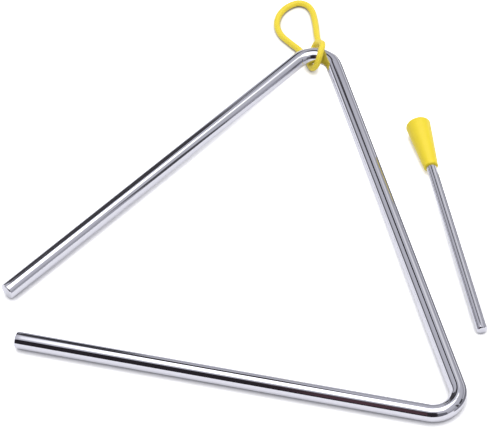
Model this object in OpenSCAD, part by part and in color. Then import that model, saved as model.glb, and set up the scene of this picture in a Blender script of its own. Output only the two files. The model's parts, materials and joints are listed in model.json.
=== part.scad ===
// Triangle: a round bar bent to three equal sides, open at one corner, hung by a
// cord loop at the top bend, with a rod beater in a tapered grip lying beside it.
// It lies on a flat surface at height 0, with the base of the triangle along X.

/* [Bar] */
// Diameter of the round bar
bar_d = 8; // [6:0.5:10]
// Side of the triangle, between the corners where the straight axes would meet
side_len = 243.5; // [180:0.5:300]
// Radius of both bends, at the middle of the bar
bend_r = 11; // [9:0.5:16]
// Open corner: from where the axes would meet to the end of the sloping side
slope_end_gap = 29.5; // [22:0.5:60]
// Open corner: from where the axes would meet to the end of the base
base_end_gap = 28.5; // [22:0.5:60]
// Chamfer on both ends of the bar
bar_chamfer = 0.4; // [0.2:0.1:1]

/* [Hanging cord] */
// Diameter of the cord
cord_d = 3; // [2:0.5:3.5]
// Clearance between the bar and the cord that it lies on
cord_gap = 0.3; // [0.2:0.1:0.5]

/* [Beater] */
// Whole length of the beater, from the tip of the rod to the end of the grip
beater_len = 128; // [100:1:180]
// Diameter of the beater's rod
rod_d = 5; // [4:0.5:7]
// Chamfer on the rod's tip
rod_chamfer = 0.5; // [0.2:0.1:1]
// Step in radius down to the rod's seat inside the grip
rod_seat_step = 0.2; // [0.1:0.1:1]
// Length of the grip
grip_len = 28; // [20:0.2:50]
// Diameter of the grip at its wide end
grip_wide_d = 12.2; // [9:0.2:18]
// Diameter of the grip where the rod comes out
grip_narrow_d = 7; // [5:0.2:9]
// Rounding of the grip's wide end
grip_edge_r = 1.2; // [0.4:0.1:2]
// Rounding of the grip's narrow end
grip_lip_r = 0.3; // [0.1:0.1:0.4]
// How far the rod's seat goes into the grip
grip_bore_len = 22; // [10:1:26]

/* [Place of the beater] */
// Distance of the rod's tip from the axis of the closed side
tip_off = 20.8; // [14:0.2:60]
// How far up the closed side the rod's tip lies, from the lower right corner
tip_along = 47.2; // [20:0.1:100]
// Angle between the beater and the closed side
beater_turn = 3.5; // [0:0.1:20]

/* [Hidden] */
$fn = 64;

bar_r = bar_d / 2;
cord_r = cord_d / 2;
rod_r = rod_d / 2;
seat_r = rod_r - rod_seat_step;
grip_wide_r = grip_wide_d / 2;
grip_narrow_r = grip_narrow_d / 2;

// An equal-sided triangle has a corner of 60 degrees, so each bend turns the bar by 120
corner = 60;
bend_turn = 180 - corner;
corner_trim = bend_r / tan(corner / 2);
apex_rise = side_len * sin(corner);

// Bending draws the bar a hair thinner, and both ends of a bend reach this many degrees
// into the straight sides that it joins
bend_thickness_share = 0.99;
bent_bar_r = bar_r * bend_thickness_share;
bend_seat = 0.3;

// The top bend lies on the cord that passes under it, which leans the whole bar a little
crown_y = apex_rise - bend_r;
lean = asin((cord_d + cord_gap) / crown_y);
crown = [side_len / 2, crown_y * cos(lean), bar_r + crown_y * sin(lean)];

// The beater rests on the rim of its tip and on the rim of its grip
foot_run = beater_len - grip_edge_r - rod_chamfer;
foot_rise = grip_wide_r - grip_edge_r - rod_r;
beater_lean = atan2(foot_rise, foot_run) + asin(grip_edge_r / norm([foot_run, foot_rise]));
tip_height = rod_r * cos(beater_lean) - rod_chamfer * sin(beater_lean);
tip = [
    side_len - tip_along * cos(corner) + tip_off * sin(corner),
    tip_along * sin(corner) + tip_off * cos(corner),
    tip_height
];
beater_dir = bend_turn - beater_turn;

// The origin is the middle of the object's outline without the cord, on the surface
tip_lean_x = cos(beater_dir) * cos(beater_lean);
tip_reach = tip[0] + rod_chamfer * tip_lean_x + rod_r * sqrt(1 - pow(tip_lean_x, 2));
left_end = (slope_end_gap + bar_chamfer) * cos(corner) - bar_r * sin(corner);
right_end = max(side_len - corner_trim + bend_r + bent_bar_r, tip_reach);
middle = [
    (min(left_end, base_end_gap) + right_end) / 2,
    (crown[1] + bent_bar_r - bar_r) / 2,
    0
];

// Middle line of the cord, in millimetres from the middle of the bar at the top bend.
// It runs from the end held in the hitch, round the loop, under the bar, up over its
// front and into the hitch, where it crosses over its own start.
cord_route = [
    [-0.8, 9.2, -3.8], [-3.4, 12.8, -4.2], [-5.6, 17.4, -5.0], [-7.6, 23.0, -5.6],
    [-10.0, 29.2, -5.8], [-13.0, 35.2, -5.8], [-17.0, 38.8, -5.8], [-22.0, 39.0, -5.8],
    [-26.6, 34.8, -5.8], [-28.8, 28.6, -5.8], [-28.0, 21.8, -5.8], [-24.2, 15.7, -5.8],
    [-18.6, 11.4, -5.8], [-13.2, 7.8, -5.8], [-9.0, 4.4, -5.8], [-5.8, 0.4, -5.8],
    [-3.8, -2.6, -5.8], [-2.4, -4.5, -4.7], [-0.9, -5.7, -2.8], [0.4, -6.3, -0.4],
    [1.4, -6.0, 2.0], [2.0, -4.6, 4.5], [2.2, -2.2, 6.1], [2.2, 0.4, 6.4],
    [1.6, 3.2, 5.6], [0.2, 5.5, 3.6], [-1.6, 7.4, 1.6], [-3.2, 8.8, -0.4],
    [-4.4, 9.0, -3.0], [-5.6, 7.8, -5.2]
];
cord_sides = 8;

function unit(v) = v / norm(v);

// Direction of the route at point i, along the chord between its neighbours
function heading(route, i) =
    unit(route[min(i + 1, len(route) - 1)] - route[max(i - 1, 0)]);

// A vector square to the direction t that stays as close as it can to v
function square_to(v, t) = unit(v - (v * t) * t);

// One such vector for each point of the route, carried along it without twist
function carried(route) = [
    for (i = 0, up = square_to([0, 0, 1], heading(route, 0));
         i < len(route);
         i = i + 1, up = i < len(route) ? square_to(up, heading(route, i)) : up)
    up
];

// Corners of all the rings, one ring after another
function ring_points(route, r, sides) =
    let (ups = carried(route))
    [
        for (i = [0 : len(route) - 1])
        let (t = heading(route, i), side = cross(t, ups[i]))
        for (k = [0 : sides - 1])
        let (a = 360 * k / sides)
        route[i] + r * (cos(a) * ups[i] + sin(a) * side)
    ];

function tube_faces(rings, sides) = [
    for (k = [1 : sides - 2]) [0, k, k + 1],
    for (k = [1 : sides - 2]) let (b = (rings - 1) * sides) [b, b + k + 1, b + k],
    for (i = [0 : rings - 2], k = [0 : sides - 1])
    let (a = i * sides + k, b = i * sides + (k + 1) % sides)
    each [[a, a + sides, b], [b, a + sides, b + sides]]
];

// Half outline of a round rod from 0 to length, whose lower end is chamfered
function rod_outline(length, r, chamfer) = [
    [0, 0], [r - chamfer, 0], [r, chamfer], [r, length], [0, length]
];

// A side with a free end, along X in the bar's own plane, from end_gap to the bend
module open_side(end_gap) {
    translate([end_gap, 0, 0])
        rotate([0, 90, 0])
            rotate_extrude()
                polygon(rod_outline(side_len - corner_trim - end_gap, bar_r, bar_chamfer));
}

// The side between the two bends, along X in the bar's own plane
module closed_side() {
    translate([corner_trim, 0, 0])
        rotate([0, 90, 0])
            cylinder(h = side_len - 2 * corner_trim, r = bar_r);
}

// A bend of the bar about `centre`, whose first end is at the angle `start`
module bend(centre, start) {
    translate(centre)
        rotate(start - bend_seat)
            rotate_extrude(angle = bend_turn + 2 * bend_seat)
                translate([bend_r, 0])
                    circle(r = bent_bar_r);
}

// Puts a beater piece, drawn along +Z from the tip of the rod, where the beater lies
module lay_beater() {
    translate(tip - middle)
        rotate([0, 90 - beater_lean, beater_dir])
            children();
}

module triangle_bar() {
    color("silver")
        translate([0, 0, bar_r] - middle)
            rotate([lean, 0, 0])
                union() {
                    open_side(base_end_gap);
                    rotate(corner)
                        open_side(slope_end_gap);
                    translate([side_len, 0, 0])
                        rotate(bend_turn)
                            closed_side();
                    bend([side_len - corner_trim, bend_r, 0], -90);
                    bend([side_len / 2, apex_rise - 2 * bend_r, 0], 90 - bend_turn / 2);
                }
}

module hanging_cord() {
    color("gold")
        translate(crown - middle)
            polyhedron(
                points = ring_points(cord_route, cord_r, cord_sides),
                faces = tube_faces(len(cord_route), cord_sides),
                convexity = 6
            );
}

module beater_rod() {
    bare_len = beater_len - grip_len;
    seat_end = bare_len + grip_bore_len;
    color("silver")
        lay_beater()
            rotate_extrude()
                polygon([
                    [0, 0],
                    [rod_r - rod_chamfer, 0],
                    [rod_r, rod_chamfer],
                    [rod_r, bare_len],
                    [seat_r, bare_len],
                    [seat_r, seat_end],
                    [0, seat_end]
                ]);
}

module beater_grip() {
    color("gold")
        lay_beater()
            translate([0, 0, beater_len - grip_len])
                difference() {
                    rotate_extrude() {
                        polygon([
                            [0, 0],
                            [grip_narrow_r - grip_lip_r, 0],
                            [grip_narrow_r, grip_lip_r],
                            [grip_wide_r, grip_len - grip_edge_r],
                            [grip_wide_r - grip_edge_r, grip_len - grip_edge_r],
                            [grip_wide_r - grip_edge_r, grip_len],
                            [0, grip_len]
                        ]);
                        intersection() {
                            translate([grip_wide_r - grip_edge_r, grip_len - grip_edge_r])
                                circle(r = grip_edge_r);
                            translate([grip_wide_r - grip_edge_r, grip_len - grip_edge_r])
                                square(grip_edge_r);
                        }
                    }
                    translate([0, 0, -grip_lip_r])
                        cylinder(h = grip_bore_len + grip_lip_r, r = seat_r);
                }
}

triangle_bar();
hanging_cord();
beater_rod();
beater_grip();
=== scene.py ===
"""A chrome triangle, bent from round bar, with its yellow hanging cord and its beater.

It lies on a white surface under soft studio light. All lengths are in metres, in the
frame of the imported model: +Z up, the base of the triangle along X, the surface at 0.
"""

import json
import math

import bpy
from mathutils import Matrix, Vector


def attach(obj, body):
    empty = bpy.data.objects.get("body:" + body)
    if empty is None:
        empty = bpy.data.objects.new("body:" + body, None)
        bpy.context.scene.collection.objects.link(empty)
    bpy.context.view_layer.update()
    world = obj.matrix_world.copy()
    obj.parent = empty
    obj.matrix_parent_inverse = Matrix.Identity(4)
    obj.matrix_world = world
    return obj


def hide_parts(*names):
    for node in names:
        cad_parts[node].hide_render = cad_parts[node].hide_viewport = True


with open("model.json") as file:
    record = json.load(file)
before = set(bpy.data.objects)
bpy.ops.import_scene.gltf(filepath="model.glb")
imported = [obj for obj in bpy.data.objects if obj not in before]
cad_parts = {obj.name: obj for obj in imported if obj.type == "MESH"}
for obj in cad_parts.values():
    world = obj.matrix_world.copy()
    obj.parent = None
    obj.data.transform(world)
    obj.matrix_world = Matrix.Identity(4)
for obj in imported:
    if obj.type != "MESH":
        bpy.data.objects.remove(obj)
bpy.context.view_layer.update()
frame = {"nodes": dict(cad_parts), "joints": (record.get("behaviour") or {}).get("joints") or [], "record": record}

UP = Vector((0, 0, 1))
JOINTS = {joint["name"]: joint for joint in frame["joints"]}
MOUNTS = {mount["name"]: mount for mount in frame["record"]["mounts"]}

# Sizes of the triangle and its bar
BAR_R = 0.004
SIDE = 0.2435
BEND_R = 0.011
BASE_END_GAP = 0.0285
SLOPE_END_GAP = 0.0295
BAR_CHAMFER = 0.0004
BENT_THICKNESS_SHARE = 0.99
CORNER = math.radians(60)

# Sizes of the beater
BEATER_LEN = 0.128
ROD_R = 0.0025
ROD_CHAMFER = 0.0005
ROD_SEAT_R = 0.0023
GRIP_LEN = 0.028
GRIP_WIDE_R = 0.0061
GRIP_NARROW_R = 0.0035
GRIP_EDGE_R = 0.0012
GRIP_LIP_R = 0.0003
GRIP_BORE_LEN = 0.022
BARE_LEN = BEATER_LEN - GRIP_LEN
BORE_END = BARE_LEN + GRIP_BORE_LEN

# The cord's middle line, from the middle of the bar at the top bend. It runs from the
# end held in the hitch, round the loop, under the bar, up over its front and back.
CORD_R = 0.0015
CORD_ROUTE = [
    (-0.0008, 0.0092, -0.0038), (-0.0034, 0.0128, -0.0042), (-0.0056, 0.0174, -0.0050),
    (-0.0076, 0.0230, -0.0056), (-0.0100, 0.0292, -0.0058), (-0.0130, 0.0352, -0.0058),
    (-0.0170, 0.0388, -0.0058), (-0.0220, 0.0390, -0.0058), (-0.0266, 0.0348, -0.0058),
    (-0.0288, 0.0286, -0.0058), (-0.0280, 0.0218, -0.0058), (-0.0242, 0.0157, -0.0058),
    (-0.0186, 0.0114, -0.0058), (-0.0132, 0.0078, -0.0058), (-0.0090, 0.0044, -0.0058),
    (-0.0058, 0.0004, -0.0058), (-0.0038, -0.0026, -0.0058), (-0.0024, -0.0045, -0.0047),
    (-0.0009, -0.0057, -0.0028), (0.0004, -0.0063, -0.0004), (0.0014, -0.0060, 0.0020),
    (0.0020, -0.0046, 0.0045), (0.0022, -0.0022, 0.0061), (0.0022, 0.0004, 0.0064),
    (0.0016, 0.0032, 0.0056), (0.0002, 0.0055, 0.0036), (-0.0016, 0.0074, 0.0016),
    (-0.0032, 0.0088, -0.0004), (-0.0044, 0.0090, -0.0030), (-0.0056, 0.0078, -0.0052),
]

# Places taken from the frame: the middle of the bar at the top bend, the beater's axis,
# which runs from its tip to its grip, and the tip, where the rod's solid ends on it
CROWN = Vector(JOINTS["cord_swing"]["pos_m"])
ROD_PIN = MOUNTS["beater_rod_pin"]
ROD_PIN_AT = Vector(ROD_PIN["pos_m"])
BEATER_AXIS = -Vector(ROD_PIN["axis"]).normalized()
ROD_CORNERS = [vertex.co for vertex in frame["nodes"]["beater_rod"].data.vertices]
BEATER_TIP = ROD_PIN_AT + BEATER_AXIS * min(
    (corner - ROD_PIN_AT).dot(BEATER_AXIS) for corner in ROD_CORNERS
)


def add_object(name, data):
    """A new object in the scene, at the origin."""
    added = bpy.data.objects.new(name, data)
    bpy.context.scene.collection.objects.link(added)
    return added


# The camera

CAMERA_AIM = Vector((-0.01494, -0.00178, 0))
CAMERA_DISTANCE = 1.2435
CAMERA_AZIMUTH = math.radians(21.39)
CAMERA_ELEVATION = math.radians(49.69)
CAMERA_ROLL = math.radians(-7.43)
CAMERA_LENS = 190.57
CAMERA_NEAR, CAMERA_FAR = 0.05, 50
SENSOR_WIDTH = 36


def add_camera():
    back = Vector((
        math.sin(CAMERA_AZIMUTH) * math.cos(CAMERA_ELEVATION),
        -math.cos(CAMERA_AZIMUTH) * math.cos(CAMERA_ELEVATION),
        math.sin(CAMERA_ELEVATION),
    ))
    data = bpy.data.cameras.new("camera")
    data.lens = CAMERA_LENS
    data.sensor_width = SENSOR_WIDTH
    data.clip_start = CAMERA_NEAR
    data.clip_end = CAMERA_FAR
    camera = add_object("camera", data)
    turned = back.to_track_quat("Z", "Y").to_matrix().to_4x4()
    place = Matrix.Translation(CAMERA_AIM + back * CAMERA_DISTANCE)
    camera.matrix_world = place @ turned @ Matrix.Rotation(CAMERA_ROLL, 4, "Z")
    bpy.context.scene.camera = camera


# Meshes

SHARP_ANGLE = math.radians(35)
CENTRE_R = 0.0002
SAME_PLACE = 0.000001


def smoothstep(low, high, x):
    t = min(max((x - low) / (high - low), 0), 1)
    return t * t * (3 - 2 * t)


def rounded_outline(corners, steps):
    """Points (along, r) of an outline whose corners, (along, r, rounding), are rounded."""
    points = []
    for i, (along, r, rounding) in enumerate(corners):
        corner = Vector((along, r))
        if rounding == 0:
            points.append(corner)
            continue
        back = (Vector(corners[i - 1][:2]) - corner).normalized()
        on = (Vector(corners[i + 1][:2]) - corner).normalized()
        turn = math.pi - back.angle(on)
        inward = (back + on).normalized()
        middle = corner + inward * rounding / math.cos(turn / 2)
        first = -inward
        side = (on - back).normalized()
        for k in range(steps + 1):
            a = turn * (k / steps - 0.5)
            points.append(middle + rounding * (math.cos(a) * first + math.sin(a) * side))
    apart = [(b - a).length > SAME_PLACE for a, b in zip(points, points[1:])]
    return points[:1] + [point for point, is_apart in zip(points[1:], apart) if is_apart]


def divided(start, end, steps):
    """Corners without rounding that divide the stretch between two (along, r) places."""
    return [(*Vector(start).lerp(Vector(end), i / steps), 0) for i in range(1, steps)]


def swept_mesh(name, rings, sides, relief=None):
    """A closed tube through rings, each (middle, side vector, up vector, radius).

    U runs along it in metres and V once round it. relief(u, v) is a share of the radius.
    """
    lengths = [0.0]
    for before, after in zip(rings, rings[1:]):
        step = math.hypot((after[0] - before[0]).length, after[3] - before[3])
        lengths.append(lengths[-1] + step)
    points, faces, uvs = [], [], []
    for (middle, side, up, radius), u in zip(rings, lengths):
        for k in range(sides):
            a = 2 * math.pi * k / sides
            r = radius * (relief(u, k / sides) if relief else 1)
            points.append(middle + r * (math.cos(a) * side + math.sin(a) * up))
    for i in range(len(rings) - 1):
        for k in range(sides):
            a = i * sides + k
            b = i * sides + (k + 1) % sides
            faces.append((a, b, b + sides, a + sides))
            uvs += [
                (lengths[i], k / sides), (lengths[i], (k + 1) / sides),
                (lengths[i + 1], (k + 1) / sides), (lengths[i + 1], k / sides),
            ]
    first = list(range(sides))
    last = [(len(rings) - 1) * sides + k for k in range(sides)]
    faces += [tuple(reversed(first)), tuple(last)]
    uvs += [(0.0, 0.0)] * sides + [(lengths[-1], 0.0)] * sides

    mesh = bpy.data.meshes.new(name)
    mesh.from_pydata(points, [], faces)
    layer = mesh.uv_layers.new(name="along_and_round")
    for loop, uv in zip(layer.data, uvs):
        loop.uv = uv
    mesh.polygons.foreach_set("use_smooth", [True] * len(faces))
    mesh.set_sharp_from_angle(angle=SHARP_ANGLE)
    mesh.validate()
    mesh.update()
    return mesh


def add_piece(name, mesh, body, node, material):
    mesh.materials.append(material)
    piece = add_object(name, mesh)
    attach(piece, body)
    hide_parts(node)
    return piece


# The bar

STRAIGHT_STEP = 0.004
BEND_STEPS = 60
BEND_BLEND = 0.003
BAR_SIDES = 96
EDGE_ROUNDING = 0.00012
EDGE_STEPS = 4

# The bar's rolled-off ends, whose rings stand in for the axis's first and last ones
END_STEPS = 12
END_RINGS = 2
ROLL_OFF_LEN = 0.0035
ROLL_OFF_DEPTH = 0.00006


def bar_axis():
    """Points and headings in the bar's own plane, from the base's end to the slope's."""
    trim = BEND_R / math.tan(CORNER / 2)
    corners = [
        Vector((0, 0, 0)),
        Vector((SIDE, 0, 0)),
        Vector((SIDE * math.cos(CORNER), SIDE * math.sin(CORNER), 0)),
    ]
    cuts = [(BASE_END_GAP, trim), (trim, trim), (trim, SLOPE_END_GAP)]
    axis = []
    for side, (cut_before, cut_after) in enumerate(cuts):
        start, end = corners[side], corners[(side + 1) % 3]
        heading = (end - start).normalized()
        inward = UP.cross(heading)
        a = start + heading * cut_before
        b = end - heading * cut_after
        count = round((b - a).length / STRAIGHT_STEP)
        axis += [(a.lerp(b, i / count), heading) for i in range(count + 1)]
        if side < 2:
            middle = b + inward * BEND_R
            for i in range(1, BEND_STEPS):
                turn = Matrix.Rotation((math.pi - CORNER) * i / BEND_STEPS, 3, "Z")
                axis.append((middle - turn @ (inward * BEND_R), turn @ heading))
    return axis


def bar_rings():
    """Rings along the bar, a hair thinner in its bends, laid on its surface and cord."""
    axis = bar_axis()
    run = [0.0]
    bent_runs = []
    for (before, old_heading), (after, heading) in zip(axis, axis[1:]):
        run.append(run[-1] + (after - before).length)
        if heading.angle(old_heading) > 0:
            bent_runs.append(run[-1])

    own_crown = Vector((SIDE / 2, SIDE * math.sin(CORNER) - BEND_R, 0))
    lean = Matrix.Rotation(math.asin((CROWN.z - BAR_R) / own_crown.y), 3, "X")
    rings = []
    for (point, heading), r in zip(axis, run):
        from_bend = min(abs(r - bent_run) for bent_run in bent_runs)
        thin = (1 - BENT_THICKNESS_SHARE) * (1 - smoothstep(0, BEND_BLEND, from_bend))
        middle = CROWN + lean @ (point - own_crown)
        rings.append((middle, lean @ UP.cross(heading), lean @ UP, BAR_R * (1 - thin)))
    return bar_end(rings[0], 1) + rings[END_RINGS:-END_RINGS] + bar_end(rings[-1], -1)


def bar_end(ring, inward):
    """Rings of a chamfered end; inward is 1 where the bar starts and -1 where it ends.

    The outline's last corner only tells the one before it which way to round.
    """
    middle, side, up, _ = ring
    heading = side.cross(up)
    end_r = BAR_R - ROLL_OFF_DEPTH
    outline = rounded_outline([
        (0, CENTRE_R, 0),
        (0, end_r - BAR_CHAMFER, EDGE_ROUNDING),
        (BAR_CHAMFER, end_r, EDGE_ROUNDING),
        (ROLL_OFF_LEN, end_r, 0),
    ], EDGE_STEPS)[:-1]
    roll_off = ROLL_OFF_LEN - BAR_CHAMFER
    for i in range(1, END_STEPS + 1):
        along = BAR_CHAMFER + roll_off * i / END_STEPS
        in_share = (ROLL_OFF_LEN - along) / roll_off
        outline.append(Vector((along, BAR_R - ROLL_OFF_DEPTH * in_share ** 2)))
    rings = [(middle + heading * inward * along, side, up, r) for along, r in outline]
    return rings[::inward]


# The cord

CORD_STEP = 0.0002
CORD_SIDES = 48
CARRIERS = 8
BRAID_PITCH = 0.0015
BRAID_CREST_SHARE = 1.05
BRAID_DEPTH_SHARE = 0.07
YARN_DIP_SHARE = 0.45


def spline_points(route, step):
    """A smooth curve through the route's points, about step apart."""
    points = []
    padded = [2 * route[0] - route[1]] + route + [2 * route[-1] - route[-2]]
    for a, b, c, d in zip(padded, padded[1:], padded[2:], padded[3:]):
        count = max(2, round((c - b).length / step))
        for i in range(count):
            t = i / count
            points.append(0.5 * (
                2 * b + (c - a) * t + (2 * a - 5 * b + 4 * c - d) * t ** 2
                + (3 * b - a - 3 * c + d) * t ** 3
            ))
    points.append(route[-1].copy())
    return points


def cord_path():
    path = spline_points([CROWN + Vector(point) for point in CORD_ROUTE], CORD_STEP)
    lowest = CORD_R * BRAID_CREST_SHARE
    for point in path:
        point.z = max(point.z, lowest)
    return path


def path_rings(path, radius):
    """Rings square to a path, carried along it without twist, with rounded ends."""
    rings = []
    up = UP.copy()
    for i, point in enumerate(path):
        heading = (path[min(i + 1, len(path) - 1)] - path[max(i - 1, 0)]).normalized()
        up = (up - heading * up.dot(heading)).normalized()
        from_end = min(i, len(path) - 1 - i) * CORD_STEP
        out = max(1 - from_end / radius, 0)
        r = max(radius * math.sqrt(1 - out ** 2), CENTRE_R)
        rings.append((point, up.cross(heading), up, r))
    return rings


def braid_relief(u, v):
    """The share of the radius at a place on the braid, whose yarns cross in pairs.

    Each yarn is round across, and dips at both ends of a crossing to go under the next.
    """
    a = CARRIERS * v + u / BRAID_PITCH
    b = CARRIERS * v - u / BRAID_PITCH
    across, along = a % 1, b % 1
    if (math.floor(a) + math.floor(b)) % 2:
        across, along = along, across
    dip = YARN_DIP_SHARE * (1 - math.sin(math.pi * along))
    height = math.sqrt(math.sin(math.pi * across)) * (1 - dip)
    return BRAID_CREST_SHARE - BRAID_DEPTH_SHARE * (1 - height)


# The beater: its outlines are (distance from the tip, radius)

BEATER_SIDES = 96
ROD_STEPS = 24
TAPER_STEPS = 30
ROUND_STEPS = 8


def revolved_rings(outline):
    """Rings of an outline that is turned round the beater's axis."""
    side = BEATER_AXIS.cross(UP).normalized()
    up = side.cross(BEATER_AXIS)
    return [(BEATER_TIP + BEATER_AXIS * along, up, side, r) for along, r in outline]


def rod_outline():
    return rounded_outline([
        (0, CENTRE_R, 0),
        (0, ROD_R - ROD_CHAMFER, EDGE_ROUNDING),
        (ROD_CHAMFER, ROD_R, EDGE_ROUNDING),
        *divided((ROD_CHAMFER, ROD_R), (BARE_LEN, ROD_R), ROD_STEPS),
        (BARE_LEN, ROD_R, 0),
        (BARE_LEN, ROD_SEAT_R, 0),
        (BORE_END, ROD_SEAT_R, 0),
        (BORE_END, CENTRE_R, 0),
    ], EDGE_STEPS)


def grip_outline():
    wide = BEATER_LEN - GRIP_EDGE_R
    return rounded_outline([
        (BORE_END, CENTRE_R, 0),
        (BORE_END, ROD_SEAT_R, 0),
        (BARE_LEN, ROD_SEAT_R, 0),
        (BARE_LEN, GRIP_NARROW_R, GRIP_LIP_R),
        *divided((BARE_LEN, GRIP_NARROW_R), (wide, GRIP_WIDE_R), TAPER_STEPS),
        (wide, GRIP_WIDE_R, 0),
        (BEATER_LEN, GRIP_WIDE_R, GRIP_EDGE_R),
        (BEATER_LEN, CENTRE_R, 0),
    ], ROUND_STEPS)


# Materials

# A noise is (scale, detail), its scale in grains a metre, and a bump is (strength, depth)
CHROME_COLOUR = (0.72, 0.72, 0.78)
CHROME_ROUGHNESS = 0.03
HAZE_RISE = 1.8
HAZE_NOISE = (160.0, 3.0)
HAZE_SPREAD = (0.35, 0.7)
RIPPLE_NOISE = (90.0, 1.0)
RIPPLE_BUMP = (0.25, 0.00004)

# The polishing marks are drawn out along the bar: their scale stretches U, in metres, and
# V, in turns round, before their noise takes its own scale from there
MARKS_SCALE = (60, 40, 1)
MARKS_NOISE = (3.0, 6.0)
MARKS_ROUGHNESS = 0.6
MARKS_BUMP = (0.12, 0.00002)

GRIP_YELLOWS = ((0.94, 0.76, 0.025), (0.92, 0.71, 0.018))
GRIP_ROUGHNESS = (0.30, 0.42)
GRIP_PATCH_NOISE = (220.0, 3.0)
GRIP_PATCH_SPREAD = (0.3, 0.7)
GRIP_GRAIN_NOISE = (1500.0, 2.0)
GRIP_GRAIN_BUMP = (0.25, 0.00004)

YARN_YELLOWS = ((0.98, 0.84, 0.05), (0.97, 0.77, 0.03))
# Painted shade: the deeper, warmer yellow in the crevices between the yarns
YARN_GAP_SHADE_YELLOW = (0.78, 0.50, 0.015)
YARN_GAP_WIDTH = 0.35
YARN_ROUGHNESS = 0.5
YARN_SHEEN = 0.1
YARN_PATCH_NOISE = (300.0, 2.0)
FIBRE_NOISE = (2600.0, 3.0)
FIBRE_BUMP = (0.4, 0.00008)

# A noise texture's own roughness where none is named
PLAIN_NOISE_ROUGHNESS = 0.5

# Where a mix of colours has its factor, its two colours and its result
MIX_FACTOR, MIX_FIRST, MIX_SECOND = 0, 6, 7
MIX_RESULT = 2


def new_material(name):
    material = bpy.data.materials.new(name)
    material.use_nodes = True
    tree = material.node_tree
    tree.nodes.clear()
    return material, tree


def add_node(tree, kind, inputs=None, **settings):
    """A node of that kind; an input given as a socket is linked, any other is set."""
    node = tree.nodes.new(kind)
    for key, value in settings.items():
        setattr(node, key, value)
    for key, value in (inputs or {}).items():
        if isinstance(value, bpy.types.NodeSocket):
            tree.links.new(value, node.inputs[key])
        else:
            node.inputs[key].default_value = value
    return node


def mixed(tree, factor, first, second):
    """The colour between first, a socket or a colour, and second, at a factor socket."""
    if not isinstance(first, bpy.types.NodeSocket):
        first = (*first, 1)
    inputs = {MIX_FACTOR: factor, MIX_FIRST: first, MIX_SECOND: (*second, 1)}
    return add_node(tree, "ShaderNodeMix", inputs, data_type="RGBA").outputs[MIX_RESULT]


def calculated(tree, operation, *values):
    """The result of an operation on values, each a socket or a number."""
    return add_node(tree, "ShaderNodeMath", dict(enumerate(values)), operation=operation).outputs[0]


def noise(tree, place, scale, detail, roughness=PLAIN_NOISE_ROUGHNESS):
    return add_node(tree, "ShaderNodeTexNoise", {
        "Vector": place, "Scale": scale, "Detail": detail, "Roughness": roughness,
    }).outputs["Fac"]


def ranged(tree, value, old, new, **settings):
    """A value socket carried over from the range old to the range new, each (low, high)."""
    return add_node(tree, "ShaderNodeMapRange", {
        "Value": value, "From Min": old[0], "From Max": old[1],
        "To Min": new[0], "To Max": new[1],
    }, **settings).outputs[0]


def bumped(tree, height, strength, depth, **normal):
    """The normal of a bump; one that lies on another bump is given that one's Normal."""
    return add_node(tree, "ShaderNodeBump", {
        "Height": height, "Strength": strength, "Distance": depth, **normal,
    }).outputs["Normal"]


def chrome(name):
    """Bright plating with fine polishing marks, a faint slow ripple and a little haze."""
    material, tree = new_material(name)
    coordinates = add_node(tree, "ShaderNodeTexCoord").outputs
    stretched = add_node(tree, "ShaderNodeMapping", {
        "Vector": coordinates["UV"], "Scale": MARKS_SCALE,
    }).outputs[0]
    marks = noise(tree, stretched, *MARKS_NOISE, MARKS_ROUGHNESS)
    haze = noise(tree, coordinates["Object"], *HAZE_NOISE)
    ripple = noise(tree, coordinates["Object"], *RIPPLE_NOISE)
    roughness = (CHROME_ROUGHNESS, CHROME_ROUGHNESS * HAZE_RISE)
    slow = bumped(tree, ripple, *RIPPLE_BUMP)
    shader = add_node(tree, "ShaderNodeBsdfPrincipled", {
        "Base Color": (*CHROME_COLOUR, 1), "Metallic": 1.0,
        "Roughness": ranged(tree, haze, HAZE_SPREAD, roughness),
        "Normal": bumped(tree, marks, *MARKS_BUMP, Normal=slow),
    })
    add_node(tree, "ShaderNodeOutputMaterial", {"Surface": shader.outputs[0]})
    return material


def yellow_plastic():
    """Moulded plastic: a fine grain, and patches a shade deeper."""
    material, tree = new_material("grip_yellow")
    place = add_node(tree, "ShaderNodeTexCoord").outputs["Object"]
    patches = noise(tree, place, *GRIP_PATCH_NOISE)
    grain = noise(tree, place, *GRIP_GRAIN_NOISE)
    shader = add_node(tree, "ShaderNodeBsdfPrincipled", {
        "Base Color": mixed(tree, patches, *GRIP_YELLOWS),
        "Roughness": ranged(tree, patches, GRIP_PATCH_SPREAD, GRIP_ROUGHNESS),
        "Normal": bumped(tree, grain, *GRIP_GRAIN_BUMP),
    })
    add_node(tree, "ShaderNodeOutputMaterial", {"Surface": shader.outputs[0]})
    return material


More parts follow.
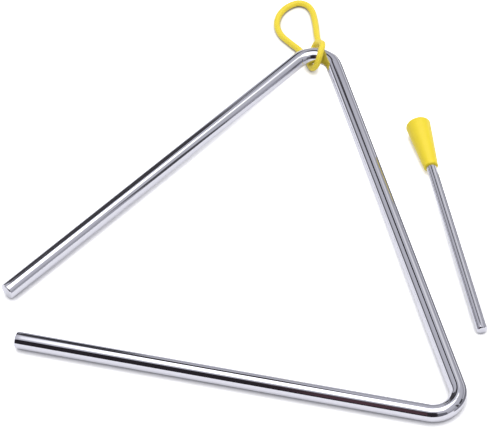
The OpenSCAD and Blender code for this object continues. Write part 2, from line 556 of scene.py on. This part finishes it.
def yellow_yarn():
    """Braided yarn: fine fibres, faint patches, and a painted shade, a deeper colour, between the yarns."""
    material, tree = new_material("cord_yellow")
    coordinates = add_node(tree, "ShaderNodeTexCoord").outputs
    split = add_node(tree, "ShaderNodeSeparateXYZ", {0: coordinates["UV"]}).outputs
    steps_along = calculated(tree, "MULTIPLY", split[0], math.pi / BRAID_PITCH)
    steps_round = calculated(tree, "MULTIPLY", split[1], math.pi * CARRIERS)
    from_gaps = []
    for sum_or_difference in ("ADD", "SUBTRACT"):
        across = calculated(tree, sum_or_difference, steps_round, steps_along)
        wave = calculated(tree, "SINE", across)
        from_gaps.append(calculated(tree, "ABSOLUTE", wave))
    from_gap = calculated(tree, "MINIMUM", *from_gaps)
    # Painted shade between the yarns, where the braid's crevices lie
    gap_shade_share = ranged(tree, from_gap, (0, YARN_GAP_WIDTH), (1, 0))
    fibres = noise(tree, coordinates["Object"], *FIBRE_NOISE)
    patches = noise(tree, coordinates["Object"], *YARN_PATCH_NOISE)
    yarn = mixed(tree, patches, *YARN_YELLOWS)
    shader = add_node(tree, "ShaderNodeBsdfPrincipled", {
        "Base Color": mixed(tree, gap_shade_share, yarn, YARN_GAP_SHADE_YELLOW),
        "Roughness": YARN_ROUGHNESS, "Sheen Weight": YARN_SHEEN,
        "Normal": bumped(tree, fibres, *FIBRE_BUMP),
    })
    add_node(tree, "ShaderNodeOutputMaterial", {"Surface": shader.outputs[0]})
    return material


# The pieces

def add_cord():
    path = cord_path()
    mesh = swept_mesh("cord_loop", path_rings(path, CORD_R), CORD_SIDES, braid_relief)
    cord = add_piece("cord_loop", mesh, "cord", "hanging_cord", yellow_yarn())


def add_bar():
    mesh = swept_mesh("bar_bent", bar_rings(), BAR_SIDES)
    add_piece("bar_bent", mesh, "triangle", "triangle_bar", chrome("bar_chrome"))


def add_beater():
    rod = swept_mesh("rod_bare", revolved_rings(rod_outline()), BEATER_SIDES)
    add_piece("rod_bare", rod, "beater", "beater_rod", chrome("rod_chrome"))
    grip = swept_mesh("grip_moulded", revolved_rings(grip_outline()), BEATER_SIDES)
    add_piece("grip_moulded", grip, "beater", "beater_grip", yellow_plastic())


# The surface, the light and what the chrome mirrors

FLOOR_HALF = 8.0
FLOOR_DROP = 0.0001
FLOOR_COLOUR = (0.85, 0.85, 0.87)
FLOOR_GLOW_SEEN = 0.88
FLOOR_GLOW_MIRRORED = 0.18

# How near a piece has to be to dim the floor's glow, which paints a contact shadow, and to darken its colour,
# which paints shade in the crease under it
CONTACT_REACH = 0.0034
CONTACT_POWER = 2.5
CREASE_REACH = 0.0011
# Painted shade: the floor's colour in the crease under a piece
CREASE_SHADE_COLOUR = (0.16, 0.16, 0.20)

SUN_TOWARDS = Vector((0.10, 0.26, 1.0))
SUN_ANGLE = math.radians(58)
SUN_ENERGY = 1.08
SUN_COLOUR = (1.0, 0.99, 0.97)
AMBIENT = (0.72, 0.72, 0.74)
WHITE = (1, 1, 1)

# What the chrome mirrors of the room, from the horizon up to straight above, each as
# (height, level)
ROOM_LEVELS = [(0.0, 0.72), (0.2, 0.31), (0.4, 0.53), (0.7, 0.59), (1.0, 0.65)]
ROOM_TINT = Vector((0.985, 0.985, 1.06))

# Where a new stop of the room's levels starts out, before it gets its own place
NEW_STOP = 0.5

# Studio panels that only reflections show. across and up are half their width and height,
# and softness is the share of those over which their edges fade.
PANELS = {
    "softbox": {
        "centre": (0.065, -0.013, 1.0), "across": (0.58, 0, 0), "up": (0, 0.38, 0),
        "level": (2.2, 2.2, 2.2), "softness": (0.42, 0.06),
    },
    "camera_side": {
        "centre": (-0.16, -1.2, 0.86), "across": (0.86, 0, 0), "up": (0, 0, 1.0),
        "level": (0.026, 0.022, 0.026), "softness": (0.24, 0.19),
    },
    "front_card": {
        "centre": (1.07, -1.25, 0.5), "across": (0.62, 0, 0), "up": (0, 0, 0.8),
        "level": (0.16, 0.16, 0.18), "softness": (0.2, 0.3),
    },
    "warm_card": {
        "centre": (-0.25, -1.19, 1.3), "across": (0.15, 0, 0), "up": (0, 0, 0.12),
        "level": (0.20, 0.12, 0.13), "softness": (0.6, 0.8),
    },
    "warm_band": {
        "centre": (-0.13, -1.19, 0.7), "across": (0.13, 0, 0), "up": (-0.04, 0, 0.5),
        "level": (0.085, 0.045, 0.055), "softness": (0.5, 0.3),
    },
    "side_light": {
        "centre": (0.68, 0.35, 1.0), "across": (0.17, 0, 0), "up": (0, 0.45, 0),
        "level": (0.6, 0.6, 0.6), "softness": (0.5, 0.3),
    },
    "crown_light": {
        "centre": (0.36, 0.47, 1.0), "across": (0.19, 0, 0), "up": (0, 0.12, 0),
        "level": (1.7, 1.7, 1.7), "softness": (0.6, 0.6),
    },
    "left_flag": {
        "centre": (-0.473, 0.498, 0.342), "across": (0.187, 0, -0.045), "up": (0.163, 0, 0.46),
        "level": (0.061, 0.058, 0.064), "softness": (0.33, 0.31),
    },
    "upper_flag": {
        "centre": (-0.375, 0.723, 1.265), "across": (0.188, 0, -0.2), "up": (0.028, 0, 0.33),
        "level": (0.02, 0.02, 0.02), "softness": (0.06, 0.06),
    },
    "inner_flag": {
        "centre": (-0.303, 0.591, 0.334), "across": (0.066, 0, 0), "up": (-0.033, 0, 0.224),
        "level": (0.015, 0.015, 0.02), "softness": (0.4, 0.5),
    },
    "low_strip": {
        "centre": (-1.2, 0.2, 0.097), "across": (0, 0.6, 0), "up": (0, 0, 0.266),
        "level": (1.16, 1.16, 1.2), "softness": (0.3, 0.43),
    },
    "left_card": {
        "centre": (-0.859, 0.1, 0.419), "across": (0, 0.581, 0), "up": (0, 0, 0.11),
        "level": (0.05, 0.05, 0.05), "softness": (0.5, 0.5),
    },
    "back_card": {
        "centre": (0.294, 0.9, 0.944), "across": (0.174, 0, 0), "up": (0, 0, 0.557),
        "level": (0.893, 0.893, 0.9), "softness": (0.5, 0.5),
    },
    "right_patch": {
        "centre": (1.0, 0.15, 0.16), "across": (0, 0.15, 0), "up": (0, 0, 0.22),
        "level": (0.04, 0.04, 0.045), "softness": (0.3, 0.4),
    },
    "right_card": {
        "centre": (1.0, -0.104, 0.245), "across": (0, 0.067, 0), "up": (0, 0, 0.5),
        "level": (0.074, 0.074, 0.08), "softness": (0.5, 0.5),
    },
}

# Low grey cards along the closed side and the rod, on the outer side, which only their
# reflections show: how far from the axis, and how high over it, in radii
CLOSED_CARD_OFF = 1.8
ROD_CARD_OFF = 3.0
EDGE_CARD_RISE = 0.6
EDGE_CARD_LEVEL = (0.24, 0.24, 0.26)
EDGE_CARD_SOFTNESS = (0.04, 0.15)

# Corners of a square from its middle, in halves of its sides
SQUARE = [(-1, -1), (1, -1), (1, 1), (-1, 1)]


def quad_mesh(name, corners):
    mesh = bpy.data.meshes.new(name)
    mesh.from_pydata(corners, [], [(0, 1, 2, 3)])
    return mesh


def openness(tree, reach):
    """A level that falls from 1 where something is closer over the surface than reach."""
    return add_node(tree, "ShaderNodeAmbientOcclusion", {"Distance": reach}).outputs["AO"]


def add_floor():
    """The white surface. A glow lifts it to white, and fades where a piece is near it: a painted contact shadow.

    Its colour is darker in the crease under a piece, where the two almost touch: painted shade.
    """
    material, tree = new_material("floor_white")
    rays = add_node(tree, "ShaderNodeLightPath").outputs
    mirrored = calculated(tree, "MAXIMUM", rays["Is Glossy Ray"], rays["Is Transmission Ray"])
    seen_glow = calculated(tree, "MULTIPLY", rays["Is Camera Ray"], FLOOR_GLOW_SEEN)
    # Painted contact shadow: the glow fades where a piece is near the floor
    painted_contact_shade = calculated(tree, "POWER", openness(tree, CONTACT_REACH), CONTACT_POWER)
    glow_with_painted_shade = calculated(tree, "MULTIPLY", seen_glow, painted_contact_shade)
    level = calculated(tree, "MULTIPLY_ADD", mirrored, FLOOR_GLOW_MIRRORED, glow_with_painted_shade)
    # Painted shade: the colour darkens where a piece almost touches the floor
    colour = mixed(tree, openness(tree, CREASE_REACH), CREASE_SHADE_COLOUR, FLOOR_COLOUR)
    diffuse = add_node(tree, "ShaderNodeBsdfDiffuse", {"Color": colour})
    glow = add_node(tree, "ShaderNodeEmission", {"Strength": level})
    both = add_node(tree, "ShaderNodeAddShader", {0: diffuse.outputs[0], 1: glow.outputs[0]})
    add_node(tree, "ShaderNodeOutputMaterial", {"Surface": both.outputs[0]})

    corners = [(FLOOR_HALF * x, FLOOR_HALF * y, -FLOOR_DROP) for x, y in SQUARE]
    mesh = quad_mesh("floor", corners)
    mesh.materials.append(material)
    add_object("floor", mesh)


def add_sun():
    data = bpy.data.lights.new("soft_light", "SUN")
    data.energy = SUN_ENERGY
    data.angle = SUN_ANGLE
    data.color = SUN_COLOUR
    sun = add_object("soft_light", data)
    sun.rotation_euler = SUN_TOWARDS.to_track_quat("Z", "Y").to_euler()
    sun.visible_glossy = False


def add_world():
    """White for the camera, the room for reflections, and an even light for the rest."""
    world = bpy.data.worlds.new("studio")
    bpy.context.scene.world = world
    world.use_nodes = True
    tree = world.node_tree
    tree.nodes.clear()
    rays = add_node(tree, "ShaderNodeLightPath").outputs
    direction = add_node(tree, "ShaderNodeTexCoord").outputs["Generated"]
    split = add_node(tree, "ShaderNodeSeparateXYZ", {0: direction})
    ramp = add_node(tree, "ShaderNodeValToRGB", {0: split.outputs[2]})
    elements = ramp.color_ramp.elements
    while len(elements) < len(ROOM_LEVELS):
        elements.new(NEW_STOP)
    for element, (height, level) in zip(elements, ROOM_LEVELS):
        element.position = height
        element.color = (*(ROOM_TINT * level), 1)
    room = add_node(tree, "ShaderNodeBackground", {"Color": ramp.outputs[0]})
    ambient = add_node(tree, "ShaderNodeBackground", {"Color": (*AMBIENT, 1)})
    white = add_node(tree, "ShaderNodeBackground", {"Color": (*WHITE, 1)})
    unseen = add_node(tree, "ShaderNodeMixShader", {
        0: rays["Is Glossy Ray"], 1: ambient.outputs[0], 2: room.outputs[0],
    })
    shown = add_node(tree, "ShaderNodeMixShader", {
        0: rays["Is Camera Ray"], 1: unseen.outputs[0], 2: white.outputs[0],
    })
    add_node(tree, "ShaderNodeOutputWorld", {"Surface": shown.outputs[0]})


def panel_material(name, level, softness, one_sided):
    """A glow that fades out to clear over the edges of a panel's square of UVs."""
    material, tree = new_material(name)
    square = add_node(tree, "ShaderNodeTexCoord").outputs["UV"]
    split = add_node(tree, "ShaderNodeSeparateXYZ", {0: square})
    masks = []
    for axis, soft in enumerate(softness):
        from_middle = calculated(tree, "ABSOLUTE", split.outputs[axis])
        edge = (1 - soft, 1)
        masks.append(ranged(tree, from_middle, edge, (1, 0), interpolation_type="SMOOTHSTEP"))
    mask = calculated(tree, "MULTIPLY", *masks)
    if one_sided:
        behind = add_node(tree, "ShaderNodeNewGeometry").outputs["Backfacing"]
        front = calculated(tree, "SUBTRACT", 1, behind)
        mask = calculated(tree, "MULTIPLY", mask, front)
    clear = add_node(tree, "ShaderNodeBsdfTransparent")
    glow = add_node(tree, "ShaderNodeEmission", {"Color": (*level, 1)})
    shown = add_node(tree, "ShaderNodeMixShader", {
        0: mask, 1: clear.outputs[0], 2: glow.outputs[0],
    })
    add_node(tree, "ShaderNodeOutputMaterial", {"Surface": shown.outputs[0]})
    return material


def add_panel_of(name, corners, level, softness, one_sided=False):
    """A glowing panel between four corners, which only reflections show."""
    mesh = quad_mesh(name, corners)
    layer = mesh.uv_layers.new(name="square")
    for loop, uv in zip(layer.data, SQUARE):
        loop.uv = uv
    mesh.materials.append(panel_material(name, level, softness, one_sided))
    panel = add_object(name, mesh)
    panel.visible_camera = False
    panel.visible_diffuse = False
    panel.visible_transmission = False
    panel.visible_shadow = False


def add_panel(name, centre, across, up, level, softness):
    centre, across, up = Vector(centre), Vector(across), Vector(up)
    corners = [centre + across * x + up * y for x, y in SQUARE]
    add_panel_of(name, corners, level, softness)


def add_edge_card(name, start, end, radius, off_share):
    """A low upright card on the right of a bar that runs from start to end, facing it."""
    heading = (end - start).normalized()
    off = heading.cross(UP).normalized() * radius * off_share
    corners = []
    for place in (start, end):
        foot = Vector((place.x, place.y, 0)) + off
        corners.append((foot, foot + UP * (place.z + radius * EDGE_CARD_RISE)))
    (a, a_top), (b, b_top) = corners
    add_panel_of(name, [b, a, a_top, b_top], EDGE_CARD_LEVEL, EDGE_CARD_SOFTNESS, one_sided=True)


def add_edge_cards():
    """A card along the closed side, from its top corner past its lower one, and the rod's."""
    heading = Vector((-math.cos(CORNER), math.sin(CORNER), 0))
    top = CROWN + Vector((0, BEND_R, 0))
    bottom = top - heading * (SIDE + BEND_R)
    bottom.z = BAR_R
    add_edge_card("closed_card", bottom, top, BAR_R, CLOSED_CARD_OFF)
    bare_end = BEATER_TIP + BEATER_AXIS * BARE_LEN
    add_edge_card("rod_card", BEATER_TIP, bare_end, ROD_R, ROD_CARD_OFF)


add_camera()
add_cord()
add_bar()
add_beater()
add_floor()
add_sun()
add_world()
add_edge_cards()
for panel_name, panel in PANELS.items():
    add_panel(panel_name, **panel)

bpy.context.scene.view_settings.view_transform = "Standard"
